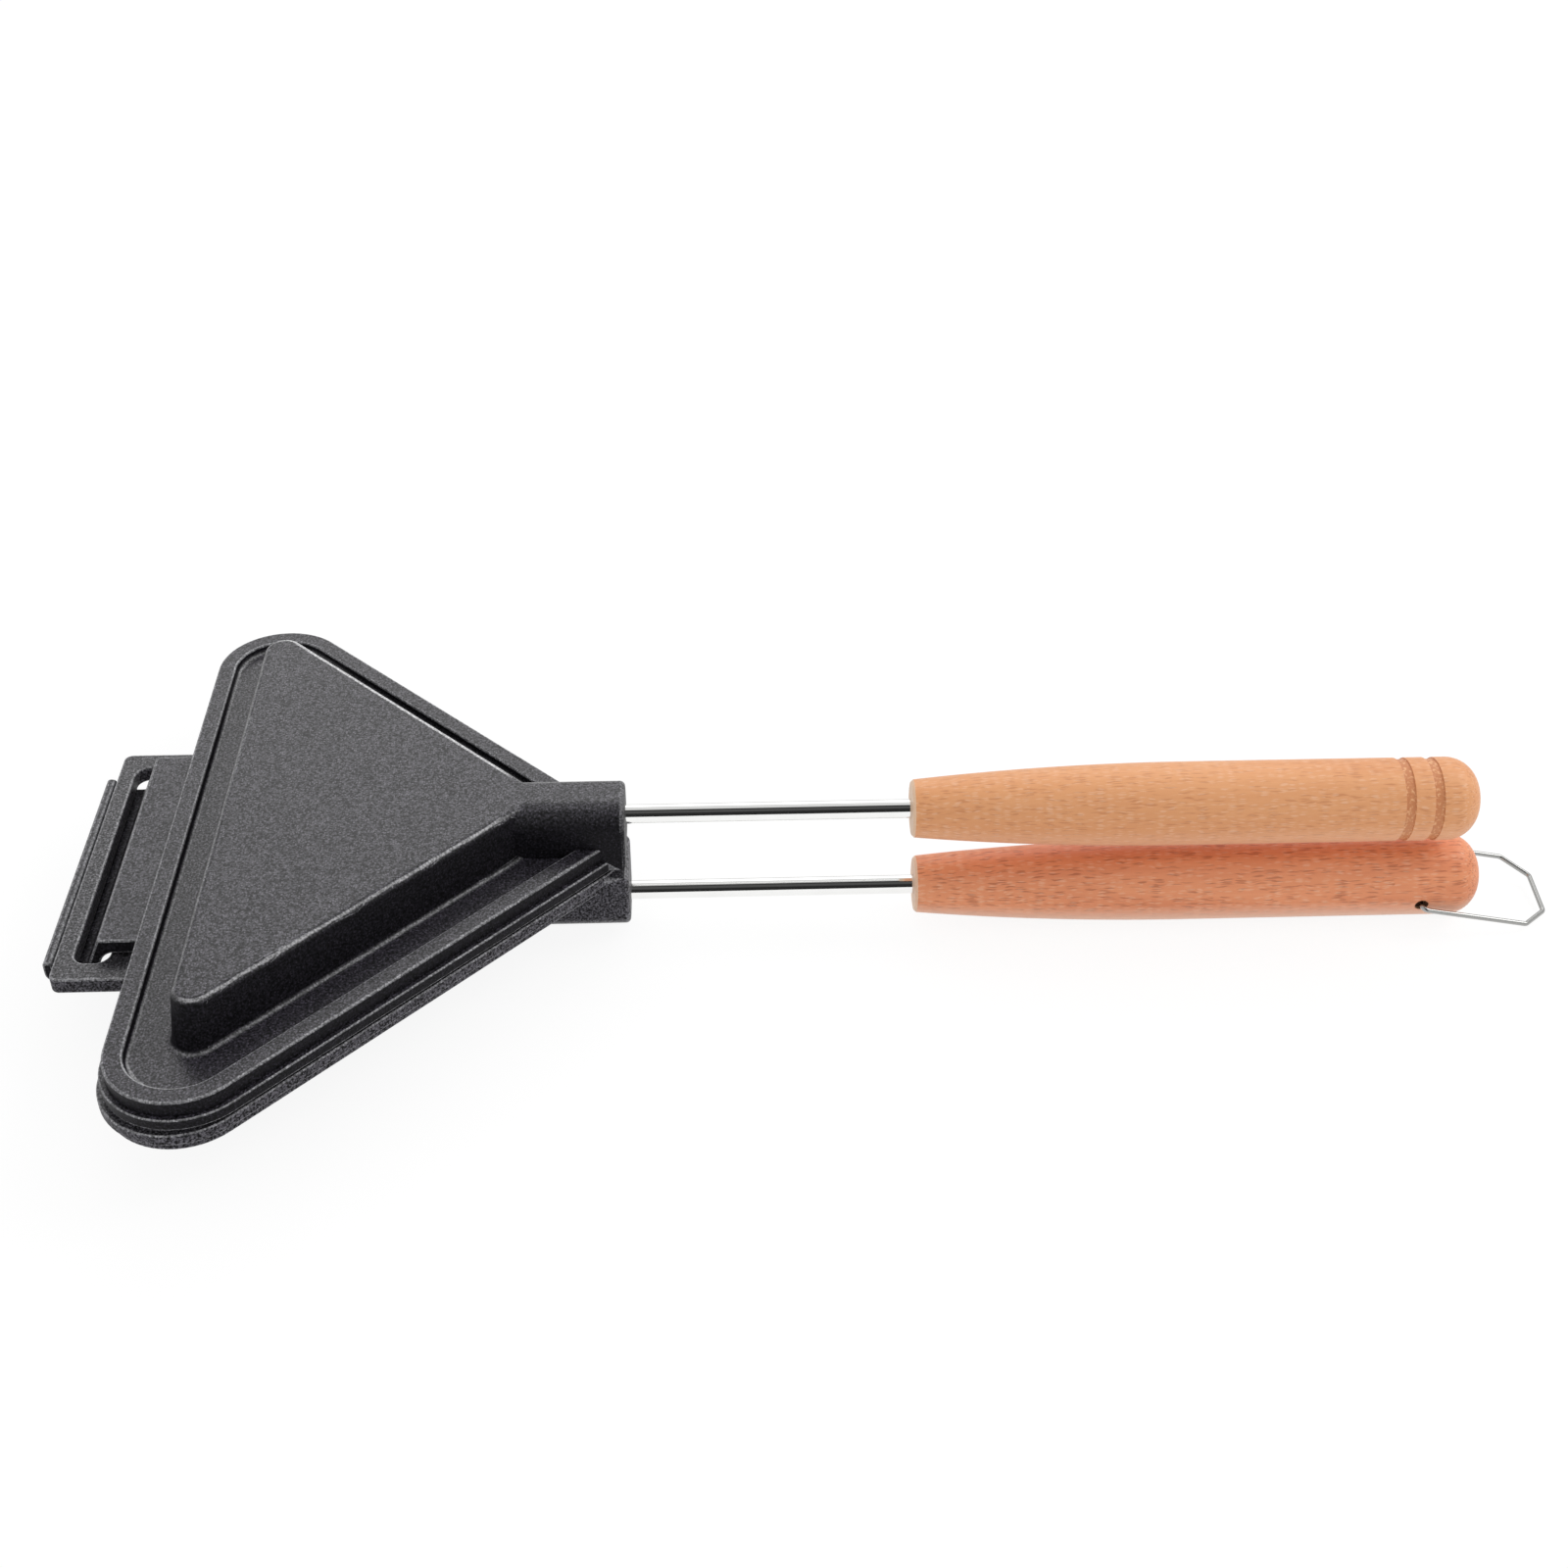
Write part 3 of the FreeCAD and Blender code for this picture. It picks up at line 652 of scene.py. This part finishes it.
def grip_profile(node, ringed):
    """Profile of a grip from the bottom of its bore, round its front end and back to its rear."""
    low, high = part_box(node)
    front = low.x
    rear = high.x
    full_r = (high.z - low.z) / 2
    bore_r = ROD_R + ROD_FIT
    bore_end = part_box(node.replace("grip", "rod"))[1].x
    points = [(bore_end, 0.0), (bore_end, bore_r), (front, bore_r), (front, GRIP_FRONT_R - GRIP_FRONT_EDGE)]
    points += swell(front + GRIP_FRONT_EDGE, front + GRIP_SWELL, full_r, 90)
    if ringed:
        for count in (1, 0):
            points += ring_cut(rear - RING_FROM_REAR - RING_WIDTH / 2 - count * RING_SPACING, full_r)
    points += arc((rear - GRIP_REAR_R, full_r - GRIP_REAR_R), GRIP_REAR_R, 90, 0, 16)
    points.append((rear, 0.0))
    return points


def turned_piece(name, profile, axis_height, facets, tree, material):
    drawing = [(along, 0.0, radius) for along, radius in profile]
    sizes = {"Facets round": facets, "Axis height": axis_height, "Finish": material}
    mesh = grown(name, drawing, tree, sizes)
    tidy_shell(mesh, MERGE_GAP)
    return mesh


def middle_height(node):
    low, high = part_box(node)
    return (low.z + high.z) / 2


def mark_front(mesh, node):
    """Marks the cut face and the eased edge at a grip's rod end."""
    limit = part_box(node)[0].x + GRIP_FRONT_EDGE
    mark_faces(mesh, "front_end", lambda middle: middle.x < limit)


def ringed_grip(node, body, tree, material):
    """The upper grip, turned with two rings near its rear end."""
    name = node + "_wood"
    mesh = turned_piece(name, grip_profile(node, True), middle_height(node), GRIP_FACETS, tree, material)
    piece = flat_shaded(mesh, name, material)
    low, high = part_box(node)
    height = middle_height(node)
    ring_r = (high.z - low.z) / 2 - RING_DEPTH / 4
    rear = high.x - RING_FROM_REAR + RING_WIDTH
    front = rear - RING_SPACING - 2 * RING_WIDTH
    mark_faces(piece.data, "cut", lambda middle: front < middle.x < rear
               and math.hypot(middle.y, middle.z - height) < ring_r)
    mark_front(piece.data, node)
    return seat(piece, node, body)


def drilled_grip(node, body, tree, material):
    """The lower grip, turned and then cross-drilled for the hanging wire."""
    name = node + "_wood"
    mesh = turned_piece(name, grip_profile(node, False), middle_height(node), GRIP_FACETS, tree, material)
    blank = bpy.data.objects.new(name + "_blank", mesh)
    drill = cross_drill()
    for thing in (blank, drill):
        bpy.context.scene.collection.objects.link(thing)
    modifier = blank.modifiers.new("cross_hole", "BOOLEAN")
    modifier.operation = "DIFFERENCE"
    modifier.solver = "EXACT"
    modifier.object = drill
    drilled = plain_mesh(blank, name)
    bpy.data.objects.remove(blank)
    bpy.data.objects.remove(drill)
    tidy_shell(drilled, MERGE_GAP)
    piece = flat_shaded(drilled, name, material)
    axis = Vector(JOINTS["loop_swing"]["axis"]).normalized()
    centre = Vector(JOINTS["loop_swing"]["pos_m"])
    mark_faces(piece.data, "cut", lambda middle: (middle - centre).cross(axis).length < HOLE_R)
    mark_front(piece.data, node)
    return seat(piece, node, body)


def cross_drill():
    """Round bar through the lower grip, along the wire's own swinging axis."""
    low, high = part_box("lower_grip")
    reach = high.z - low.z
    shape = bmesh.new()
    bmesh.ops.create_cone(
        shape, cap_ends=True, segments=HOLE_FACETS, radius1=HOLE_R, radius2=HOLE_R, depth=2 * reach)
    axis = Vector(JOINTS["loop_swing"]["axis"])
    turn = axis.to_track_quat("Z", "X").to_matrix()
    bmesh.ops.rotate(shape, verts=shape.verts, matrix=turn)
    bmesh.ops.translate(shape, verts=shape.verts, vec=Vector(JOINTS["loop_swing"]["pos_m"]))
    mesh = bpy.data.meshes.new("cross_drill")
    shape.to_mesh(mesh)
    shape.free()
    return bpy.data.objects.new("cross_drill", mesh)


def rod(node, body, tree, material):
    """Steel rod with eased ends."""
    low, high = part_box(node)
    profile = [
        (low.x, 0.0), (low.x, ROD_R - ROD_EDGE), (low.x + ROD_EDGE, ROD_R),
        (high.x - ROD_EDGE, ROD_R), (high.x, ROD_R - ROD_EDGE), (high.x, 0.0),
    ]
    mesh = turned_piece(node + "_bar", profile, middle_height(node), ROD_FACETS, tree, material)
    return seat(flat_shaded(mesh, node + "_bar", material), node, body)


def hanging_wire(tree, material):
    """Wire loop: both ends in the cross hole, legs beside the grip, and a straight end bar."""
    axis = Vector(JOINTS["loop_swing"]["axis"]).normalized()
    centre = Vector(JOINTS["loop_swing"]["pos_m"])
    across = axis.cross(Vector((1, 0, 0)))
    along = Vector((1, 0, 0)) * math.cos(LOOP_DROOP) + across * math.sin(LOOP_DROOP)
    plan = [
        (0, LOOP_END_DEPTH - LOOP_HALF_WIDTH), (0, -LOOP_HALF_WIDTH), (LOOP_LEG, -LOOP_HALF_WIDTH),
        (LOOP_REACH, -LOOP_END_BAR / 2), (LOOP_REACH, LOOP_END_BAR / 2), (LOOP_LEG, LOOP_HALF_WIDTH),
        (0, LOOP_HALF_WIDTH), (0, LOOP_HALF_WIDTH - LOOP_END_DEPTH),
    ]
    corners = [centre + along * reach + axis * width for reach, width in plan]
    sizes = {"Wire radius": WIRE_R, "Bend radius": LOOP_BEND_R, "Finish": material}
    mesh = grown("hanging_wire", corners, tree, sizes)
    tidy_shell(mesh, MERGE_GAP)
    return seat(flat_shaded(mesh, "hanging_wire", material), "hanging_loop", "loop")


def dress_screws(material):
    """The grub screws keep their solids and get their steel."""
    for node in ("upper_grub_screw", "lower_grub_screw"):
        screw = frame["nodes"][node]
        screw.data.materials.clear()
        screw.data.materials.append(material)


def pale_floor():
    """Floor that shows white, keeps the object's shadow, and is seen white in the steel."""
    mesh = bpy.data.meshes.new("pale_floor")
    half = FLOOR_SIZE / 2
    corners = [(-half, -half, 0), (half, -half, 0), (half, half, 0), (-half, half, 0)]
    mesh.from_pydata(corners, [], [(0, 1, 2, 3)])
    floor = bpy.data.objects.new("pale_floor", mesh)
    bpy.context.scene.collection.objects.link(floor)
    material = bpy.data.materials.new("pale_floor")
    material.use_nodes = True
    tree = material.node_tree
    tree.nodes.clear()
    path = put(tree, "ShaderNodeLightPath").outputs
    mirrored = sum_of(tree, path["Is Glossy Ray"], path["Is Transmission Ray"])
    seen = sum_of(tree, path["Is Camera Ray"], mirrored)
    matt = put(tree, "ShaderNodeBsdfDiffuse", {"Color": FLOOR_COLOUR})
    white = put(tree, "ShaderNodeEmission", {"Color": WHITE, "Strength": FLOOR_WHITE})
    share = product(tree, seen, FLOOR_WHITENESS)
    both = put(tree, "ShaderNodeMixShader", {0: share, 1: matt.outputs[0], 2: white.outputs[0]})
    put(tree, "ShaderNodeOutputMaterial", {"Surface": both.outputs[0]})
    mesh.materials.append(material)


def camera_back(raised=0.0):
    """Unit vector from the object back towards the camera, or some degrees above it."""
    level = cosine(CAMERA_ELEVATION + raised)
    height = sine(CAMERA_ELEVATION + raised)
    return Vector((sine(CAMERA_AZIMUTH) * level, -cosine(CAMERA_AZIMUTH) * level, height))


def white_surround():
    """White all round; polished steel also mirrors a dark upright strip of the room behind the camera."""
    world = bpy.data.worlds.new("white_surround")
    bpy.context.scene.world = world
    world.use_nodes = True
    tree = world.node_tree
    tree.nodes.clear()
    heading = put(tree, "ShaderNodeTexCoord").outputs["Generated"]
    back = camera_back()
    facing = agreement(tree, heading, back)
    across = back.cross(Vector((0, 0, 1))).normalized()
    aside = absolute(tree, agreement(tree, heading, across))
    strip = ramp(tree, facing, cosine(DARK_STRIP_OUTER), cosine(DARK_STRIP_INNER), smooth=True)
    upright = ramp(tree, aside, sine(DARK_STRIP_SIDE_OUTER), sine(DARK_STRIP_SIDE_INNER), smooth=True)
    light = ramp(tree, product(tree, strip, upright), 0.0, 1.0, SURROUND_LIGHT, DARK_STRIP_LIGHT)
    to_wall = agreement(tree, heading, camera_back(LIT_WALL_RAISE))
    wall = ramp(
        tree, to_wall, cosine(LIT_WALL_OUTER), cosine(LIT_WALL_INNER), 0.0, LIT_WALL_LIGHT, smooth=True)
    in_steel = sum_of(tree, light, wall)
    path = put(tree, "ShaderNodeLightPath").outputs
    mirrored = put(tree, "ShaderNodeMix", {0: path["Is Glossy Ray"], 2: SURROUND_LIGHT, 3: in_steel})
    strength = put(tree, "ShaderNodeMix", {0: path["Is Camera Ray"], 2: mirrored.outputs[0], 3: 1.0})
    surround = put(tree, "ShaderNodeBackground", {"Color": WHITE, "Strength": strength.outputs[0]})
    put(tree, "ShaderNodeOutputWorld", {"Surface": surround.outputs[0]})


def soft_box(name, place, size, power):
    """A large soft lamp that faces the pan."""
    lamp = bpy.data.lights.new(name, "AREA")
    lamp.shape = "RECTANGLE"
    lamp.size, lamp.size_y = size
    lamp.energy = power
    holder = bpy.data.objects.new(name, lamp)
    bpy.context.scene.collection.objects.link(holder)
    holder.location = place
    holder.rotation_mode = "QUATERNION"
    holder.rotation_quaternion = (-place).to_track_quat("-Z", "Y")


def camera():
    eye = bpy.data.cameras.new("camera")
    eye.sensor_width = 36.0
    eye.lens = CAMERA_LENS
    eye.clip_start = 0.01
    holder = bpy.data.objects.new("camera", eye)
    bpy.context.scene.collection.objects.link(holder)
    holder.location = Vector(JOINTS["pan_hinge"]["pos_m"]) + CAMERA_FROM_BAR
    holder.rotation_mode = "QUATERNION"
    level = (-camera_back()).to_track_quat("-Z", "Y")
    holder.rotation_quaternion = level @ Quaternion((0, 0, 1), math.radians(CAMERA_ROLL))
    bpy.context.scene.camera = holder


def main():
    bpy.context.scene.view_settings.view_transform = "Standard"
    camera()
    pale_floor()
    white_surround()
    soft_box("back_box", BACK_BOX_PLACE, BACK_BOX_SIZE, BACK_BOX_POWER)
    soft_box("side_box", SIDE_BOX_PLACE, SIDE_BOX_SIZE, SIDE_BOX_POWER)

    grain = cast_grain_group()
    # Upper half: painted shade on steep faces. Lower half: paler specks, more of them on steep faces, as a
    # painted reflection of the floor.
    upper_coat = nonstick_coat("upper_nonstick_coat", grain, UPPER_SPECK, 0.3)
    lower_coat = nonstick_coat("lower_nonstick_coat", grain, LOWER_SPECK_PAINTED_LIGHTER, 1.7)
    figure = beech_figure_group()
    tan = beech(
        "tan_beech", "upper_grip", figure, pale=TAN_PALE, deep=TAN_DEEP, fleck=TAN_FLECK,
        fleck_strength=0.42, band_strength=0.7, cut=TAN_CUT, painted_underside_light=0.35)
    red = beech(
        "red_beech", "lower_grip", figure, pale=RED_PALE, deep=RED_DEEP, fleck=RED_FLECK,
        fleck_strength=0.5, band_strength=0.9, cut=RED_HOLE_PAINTED_SHADE, painted_underside_light=1.0)
    lines = drawn_lines_group()
    bright = steel("bright_steel", lines, (0.86, 0.86, 0.85, 1.0), 0.06, 2600.0)
    drawn = steel("wire_steel", lines, (0.38, 0.38, 0.37, 1.0), 0.16, 3200.0)
    black = steel("screw_steel", lines, (0.11, 0.11, 0.12, 1.0), 0.4, 2200.0)

    lathe = lathe_tree()
    cast_half("upper_pan", "upper_half", upper_coat)
    cast_half("lower_pan", "lower_half", lower_coat)
    rod("upper_rod", "upper_half", lathe, bright)
    rod("lower_rod", "lower_half", lathe, bright)
    ringed_grip("upper_grip", "upper_half", lathe, tan)
    drilled_grip("lower_grip", "lower_half", lathe, red)
    hanging_wire(bent_wire_tree(), drawn)
    dress_screws(black)


main()
